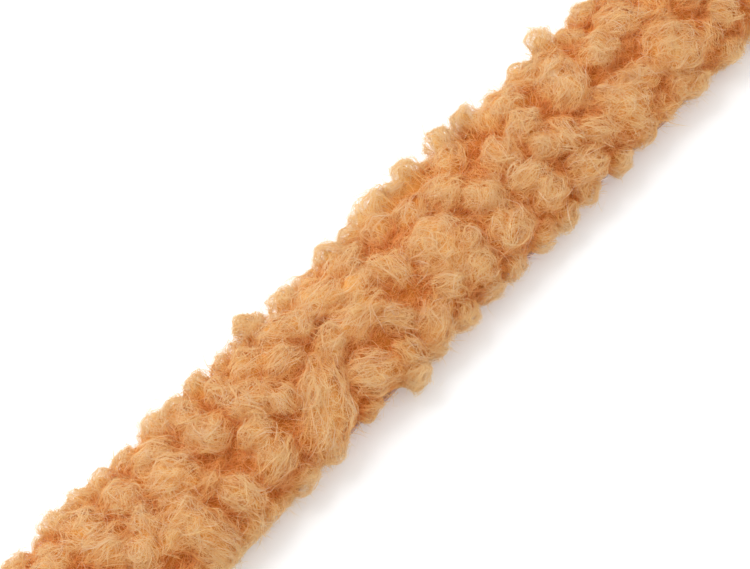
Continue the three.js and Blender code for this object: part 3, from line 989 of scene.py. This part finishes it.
def make_edge_pile():
    """Fibres rooted near both edges of the tape, fewer of them along the bare stretch."""
    side = rng.choice([-1.0, 1.0], EDGE_FIBRES)
    x = rng.uniform(-1, 1, EDGE_FIBRES) * (TRIM_LENGTH / 2 - TAPE_INSET)
    bare = (side < 0) & (x > BARE_FROM) & (x < BARE_TO) & (rng.random(EDGE_FIBRES) > BARE_LEFT)
    x = x[~bare]
    side = side[~bare]
    count = len(x)
    edge = np.where(side > 0, tape_edge(x, BACK_EDGE), tape_edge(x, FRONT_EDGE))
    y = side * (edge - EDGE_ROOTS * rng.random(count))
    t = (np.arange(EDGE_STEPS) + 0.5) / EDGE_STEPS
    rise = np.radians(rng.uniform(*EDGE_RISE, count)[:, None] - EDGE_CURL * t * rng.random((count, 1)))
    lean = np.radians(rng.normal(0, EDGE_LEAN, (count, 1)) + rng.normal(0, EDGE_CURL, (count, 1)) * t)
    way = np.stack([
        np.cos(rise) * np.sin(lean),
        side[:, None] * np.cos(rise) * np.cos(lean),
        np.sin(rise),
    ], axis=-1)
    pace = rng.uniform(*EDGE_LENGTH, count) / EDGE_STEPS
    root = np.stack([x, y, np.full(count, TAPE_THICKNESS)], axis=-1)[:, None]
    paths = np.concatenate([root, root + np.cumsum(way * pace[:, None, None], axis=1)], axis=1)
    normals = np.zeros_like(paths)
    normals[..., 1] = side[:, None]
    normals[..., 2] = EDGE_FACING_UP
    width = rng.uniform(*EDGE_WIDTH, count)
    tone = single_tones(count)
    roll = rng.normal(0, FIBRE_ROLL, count)
    return ribbon_mesh("edge_pile", paths, unit(normals), tone, width, roll)


edge_pile = make_edge_pile()
print("edge pile faces:", len(edge_pile.data.polygons))

# %% [markdown]
# ## The threads at the cut edge
#
# The ground is knitted from a pale yarn. Along the stretch of the front edge that shows, scissors have
# left a few of its ends standing out through the pile. A tube would suit a thick cord, but these are
# seen as fine pale lines. So they are ribbons as the fibres are, but thicker and nearly straight.

# %% Make the threads
# x where it leaves the edge, the turn from the trim's run, length
EDGE_THREADS = [
    (24.2, -26, 4.4),
    (24.6, -38, 2.2),
    (25.2, -19, 3.4),
    (36.0, -30, 2.0),
    (46.0, -14, 3.4),
    (46.8, -26, 2.2),
    (47.8, -4, 2.6),
]
THREAD_WIDTH = 0.22
THREAD_STEPS = 6
THREAD_BEND = 14
THREAD_HEIGHT = 3.0
THREAD_DROP = 0.6
THREAD_OUT = 0.3
THREAD_ROLL = 0.4


def make_threads():
    """One ribbon for each thread end, bent to one side and to the other in turn."""
    t = np.linspace(0, 1, THREAD_STEPS + 1)
    paths = []
    for k, (x, turn, length) in enumerate(EDGE_THREADS):
        bend = THREAD_BEND if k % 2 else -THREAD_BEND
        heading = np.radians(turn + bend * t)
        y = -tape_edge(x, FRONT_EDGE) - THREAD_OUT
        paths.append(np.stack([
            x + length * t * np.cos(heading),
            y + length * t * np.sin(heading),
            THREAD_HEIGHT - THREAD_DROP * t,
        ], axis=-1))
    paths = np.array(paths)
    normals = np.zeros_like(paths)
    normals[..., 2] = 1
    count = len(paths)
    tone = np.linspace(0, 1, count)
    width = np.full(count, THREAD_WIDTH)
    return ribbon_mesh("edge_threads", paths, normals, tone, width, rng.normal(0, THREAD_ROLL, count))


threads = make_threads()
print("threads at the edge:", len(EDGE_THREADS))

# %% [markdown]
# ## The fibre's finish
#
# The fibre is a warm tan synthetic. Single fibres let light through, so the tips look pale, and light
# that has bounced down in a gap comes back a deep orange. A hair shader is made for strands and not
# for ribbons, so a soft surface is mixed with a translucent one. The ribbons carry three numbers: how
# deep in the pile a point lies, how far along its fibre it is, and the fibre's own tone. The colour
# follows all three. The tone is the fibre's own, but the darker, more orange colour deeper in the pile
# and towards each root is painted shade and painted bounced light.

# %% Helpers for the materials
def node(tree, kind, **inputs):
    """A shader node with some of its inputs set."""
    made = tree.nodes.new(kind)
    for label, value in inputs.items():
        made.inputs[label].default_value = value
    return made


def ramp(tree, factor, stops):
    """A colour ramp from (place, colour) stops."""
    made = tree.nodes.new("ShaderNodeValToRGB")
    made.color_ramp.elements[0].position = stops[0][0]
    made.color_ramp.elements[0].color = (*stops[0][1], 1)
    made.color_ramp.elements[1].position = stops[-1][0]
    made.color_ramp.elements[1].color = (*stops[-1][1], 1)
    for place, colour in stops[1:-1]:
        made.color_ramp.elements.new(place).color = (*colour, 1)
    tree.links.new(factor, made.inputs["Fac"])
    return made.outputs["Color"]


def attribute(tree, name):
    """A number that the mesh carries at each of its points."""
    made = tree.nodes.new("ShaderNodeAttribute")
    made.attribute_name = name
    return made.outputs["Fac"]


def mix_colours(tree, kind, factor, first, second):
    """Two colours mixed; factor is a number or a socket."""
    made = tree.nodes.new("ShaderNodeMix")
    made.data_type = "RGBA"
    made.blend_type = kind
    sockets = [s for s in made.inputs if s.enabled]
    for socket, value in zip(sockets, (factor, first, second)):
        if isinstance(value, bpy.types.NodeSocket):
            tree.links.new(value, socket)
        else:
            socket.default_value = value
    return [s for s in made.outputs if s.enabled][0]


def painted_shade_by_depth(tree, stops):
    """A colour that changes from the pile's outline down to its core, where it paints shade."""
    return ramp(tree, attribute(tree, "depth"), stops)


def grey(level):
    return (level, level, level)


# %% The fibre material
SHARE_THROUGH = 0.55


def fibre_material(name):
    material = bpy.data.materials.new(name)
    material.use_nodes = True
    tree = material.node_tree
    surface = tree.nodes["Principled BSDF"]
    # Painted shade: deeper in the pile the colour is darker and more orange, for the shade and bounced light
    # in the gaps
    body = painted_shade_by_depth(tree, [
        (0.0, (0.91, 0.69, 0.335)),
        (0.4, (0.93, 0.62, 0.215)),
        (0.75, (0.93, 0.48, 0.12)),
        (1.0, (0.82, 0.34, 0.055)),
    ])
    # The pale fibres get the same painted shade, deeper in the pile
    pale = painted_shade_by_depth(tree, [(0.0, (0.88, 0.82, 0.75)), (1.0, (0.92, 0.68, 0.37))])
    share = ramp(tree, attribute(tree, "tone"), [
        (0.2, grey(0.08)),
        (0.6, grey(0.26)),
        (1.0, grey(0.62)),
    ])
    colour = mix_colours(tree, "MIX", share, body, pale)
    # Painted shade: each fibre is darker towards its root, down in the pile
    painted_root_shade = ramp(tree, attribute(tree, "along"), [(0.0, (0.96, 0.86, 0.76)), (0.35, (1, 1, 1))])
    colour = mix_colours(tree, "MULTIPLY", 1.0, colour, painted_root_shade)
    tree.links.new(colour, surface.inputs["Base Color"])
    surface.inputs["Roughness"].default_value = 0.6
    surface.inputs["Specular IOR Level"].default_value = 0.3
    surface.inputs["Sheen Weight"].default_value = 0.08
    surface.inputs["Sheen Roughness"].default_value = 0.4
    through = tree.nodes.new("ShaderNodeBsdfTranslucent")
    tree.links.new(colour, through.inputs["Color"])
    both = tree.nodes.new("ShaderNodeMixShader")
    both.inputs["Fac"].default_value = SHARE_THROUGH
    tree.links.new(surface.outputs["BSDF"], both.inputs[1])
    tree.links.new(through.outputs["BSDF"], both.inputs[2])
    tree.links.new(both.outputs["Shader"], tree.nodes["Material Output"].inputs["Surface"])
    return material


fibre = fibre_material("curled_fibre")
fibre_meshes = [*swirl_fibres, *loop_fibres, *matted, end_fibres, edge_pile]
for piece in fibre_meshes:
    piece.data.materials.append(fibre)
print("fibre material on", len(fibre_meshes), "pieces")

# %% [markdown]
# ## The finish of the undercoat, the tape and the threads
#
# The undercoat is the same fibre, but matted, so it looks like felt. Its colour is deeper than the
# fibres' and darker still lower in the pile: that is painted shade, for it is seen down in the gaps.
# The ground is a matt mauve-brown knit, and its yarn a pale pink. One matt material serves for all
# three, with another colour in each. A fine bump stands for what is too small to model, the single
# fibres of felt and yarn.

# %% The matt materials
NOISE_DETAIL = 4.0
NOISE_ROUGHNESS = 0.55
BUMP_STRENGTH = 0.8


def noise(tree, scale):
    """A random pattern fixed to the piece."""
    place = tree.nodes.new("ShaderNodeTexCoord")
    made = node(tree, "ShaderNodeTexNoise", Scale=scale, Detail=NOISE_DETAIL, Roughness=NOISE_ROUGHNESS)
    tree.links.new(place.outputs["Object"], made.inputs["Vector"])
    return made.outputs["Fac"]


def matt_material(name, make_colour, bump_scale, bump_distance):
    """A matt fibrous surface with fine bump. make_colour gives its colour in the material's tree."""
    material = bpy.data.materials.new(name)
    material.use_nodes = True
    tree = material.node_tree
    surface = tree.nodes["Principled BSDF"]
    tree.links.new(make_colour(tree), surface.inputs["Base Color"])
    surface.inputs["Roughness"].default_value = 0.9
    surface.inputs["Specular IOR Level"].default_value = 0.2
    bump = node(tree, "ShaderNodeBump", Strength=BUMP_STRENGTH, Distance=bump_distance)
    tree.links.new(noise(tree, bump_scale), bump.inputs["Height"])
    tree.links.new(bump.outputs["Normal"], surface.inputs["Normal"])
    return material


def undercoat_colour(tree):
    # Painted shade: the undercoat is darker and more orange lower in the pile
    body = painted_shade_by_depth(tree, [
        (0.0, (0.92, 0.57, 0.22)),
        (0.4, (0.87, 0.44, 0.12)),
        (1.0, (0.68, 0.25, 0.04)),
    ])
    mottle = ramp(tree, noise(tree, 900), [(0.3, (0.82, 0.78, 0.74)), (0.7, (1, 1, 1))])
    return mix_colours(tree, "MULTIPLY", 1.0, body, mottle)


def ground_colour(tree):
    return ramp(tree, noise(tree, 2500), [(0.35, (0.46, 0.28, 0.25)), (0.7, (0.66, 0.45, 0.39))])


def yarn_colour(tree):
    return ramp(tree, noise(tree, 4000), [(0.3, (0.90, 0.76, 0.70)), (0.7, (0.96, 0.88, 0.84))])


undercoat.data.materials.append(matt_material("matted_undercoat", undercoat_colour, 4000, 0.0003))
tape.data.materials.append(matt_material("knitted_ground", ground_colour, 5000, 0.0002))
threads.data.materials.append(matt_material("ground_yarn", yarn_colour, 6000, 0.0001))
print("matt materials on", [piece.name for piece in (undercoat, tape, threads)])

# %% [markdown]
# ## The table, the light and the camera
#
# The table is plain white. It could be left to the sky's light alone, but then the trim would throw no
# shadow to one side. So a large soft light stands high over the back edge and gives the wide pale
# shadow in front of the trim. The table also has painted light: it glows a little, which keeps the open
# table pure white and lightens the shadow. The camera looks down steeply with a long lens.

# %% The table
TABLE_HALF = 1500
TABLE_PAINTED_GLOW = 0.1


def make_table():
    """One large square with a faintly mottled white surface and a faint painted glow."""
    corners = [(-1, -1), (1, -1), (1, 1), (-1, 1)]
    points = [(x * TABLE_HALF, y * TABLE_HALF, 0) for x, y in corners]
    table = add_object("table", points, [(0, 1, 2, 3)], smooth=False)
    material = bpy.data.materials.new("white_table")
    material.use_nodes = True
    tree = material.node_tree
    surface = tree.nodes["Principled BSDF"]
    pale = ramp(tree, noise(tree, 3), [(0.3, (0.90, 0.92, 0.93)), (0.7, (0.92, 0.94, 0.95))])
    tree.links.new(pale, surface.inputs["Base Color"])
    tree.links.new(pale, surface.inputs["Emission Color"])
    # Painted light: the table glows a little, though it is no lamp
    surface.inputs["Emission Strength"].default_value = TABLE_PAINTED_GLOW
    surface.inputs["Roughness"].default_value = 0.8
    table.data.materials.append(material)
    return table


table = make_table()

# %% The lights
KEY_PLACE = (-150, 700, 900)
KEY_SIZE = 800
KEY_POWER = 7.3
SKY_COLOUR = (1, 0.985, 0.98, 1)
SKY_STRENGTH = 0.975


def key_light():
    """A square area light that faces the middle of the trim."""
    data = bpy.data.lights.new("key", "AREA")
    data.size = KEY_SIZE * MM
    data.energy = KEY_POWER
    light = bpy.data.objects.new("key", data)
    light.location = Vector(KEY_PLACE) * MM
    light.rotation_euler = Vector(KEY_PLACE).to_track_quat("Z", "Y").to_euler()
    bpy.context.scene.collection.objects.link(light)


def sky_light():
    """An even light from all round, a little warm."""
    world = bpy.data.worlds.new("studio")
    world.use_nodes = True
    background = world.node_tree.nodes["Background"]
    background.inputs["Color"].default_value = SKY_COLOUR
    background.inputs["Strength"].default_value = SKY_STRENGTH
    bpy.context.scene.world = world


key_light()
sky_light()
bpy.context.scene.view_settings.view_transform = "Standard"
print("key light, mm from the trim's middle:", round(Vector(KEY_PLACE).length))

# %% The camera
CAMERA_AZIMUTH = -48.1
CAMERA_HEIGHT_ANGLE = 62
CAMERA_DISTANCE = 600
CAMERA_AIM = (0, 3.3, 7.0)
MM_PER_PIXEL = 0.191
PICTURE_WIDTH = 750
SENSOR_WIDTH = 36


def make_camera():
    """A camera whose lens gives one pixel the size it has in the photo, at the trim's distance."""
    azimuth = math.radians(CAMERA_AZIMUTH)
    height = math.radians(CAMERA_HEIGHT_ANGLE)
    back = Vector((
        math.sin(azimuth) * math.cos(height),
        -math.cos(azimuth) * math.cos(height),
        math.sin(height),
    ))
    data = bpy.data.cameras.new("camera")
    data.sensor_width = SENSOR_WIDTH
    data.lens = CAMERA_DISTANCE / MM_PER_PIXEL * SENSOR_WIDTH / PICTURE_WIDTH
    data.clip_start = 0.05
    data.clip_end = 20
    camera = bpy.data.objects.new("camera", data)
    camera.location = (Vector(CAMERA_AIM) + back * CAMERA_DISTANCE) * MM
    camera.rotation_euler = back.to_track_quat("Z", "Y").to_euler()
    bpy.context.scene.collection.objects.link(camera)
    bpy.context.scene.camera = camera
    print("lens, mm:", round(data.lens, 1))


make_camera()

# %% [markdown]
# ## Hand the pieces over
#
# Every piece rides on the one body. The undercoat stands for the plain solid, because it is the closed
# skin that follows the same curls.

for piece in [undercoat, tape, threads, *fibre_meshes]:
    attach(piece, "root")
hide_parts("fur_trim")
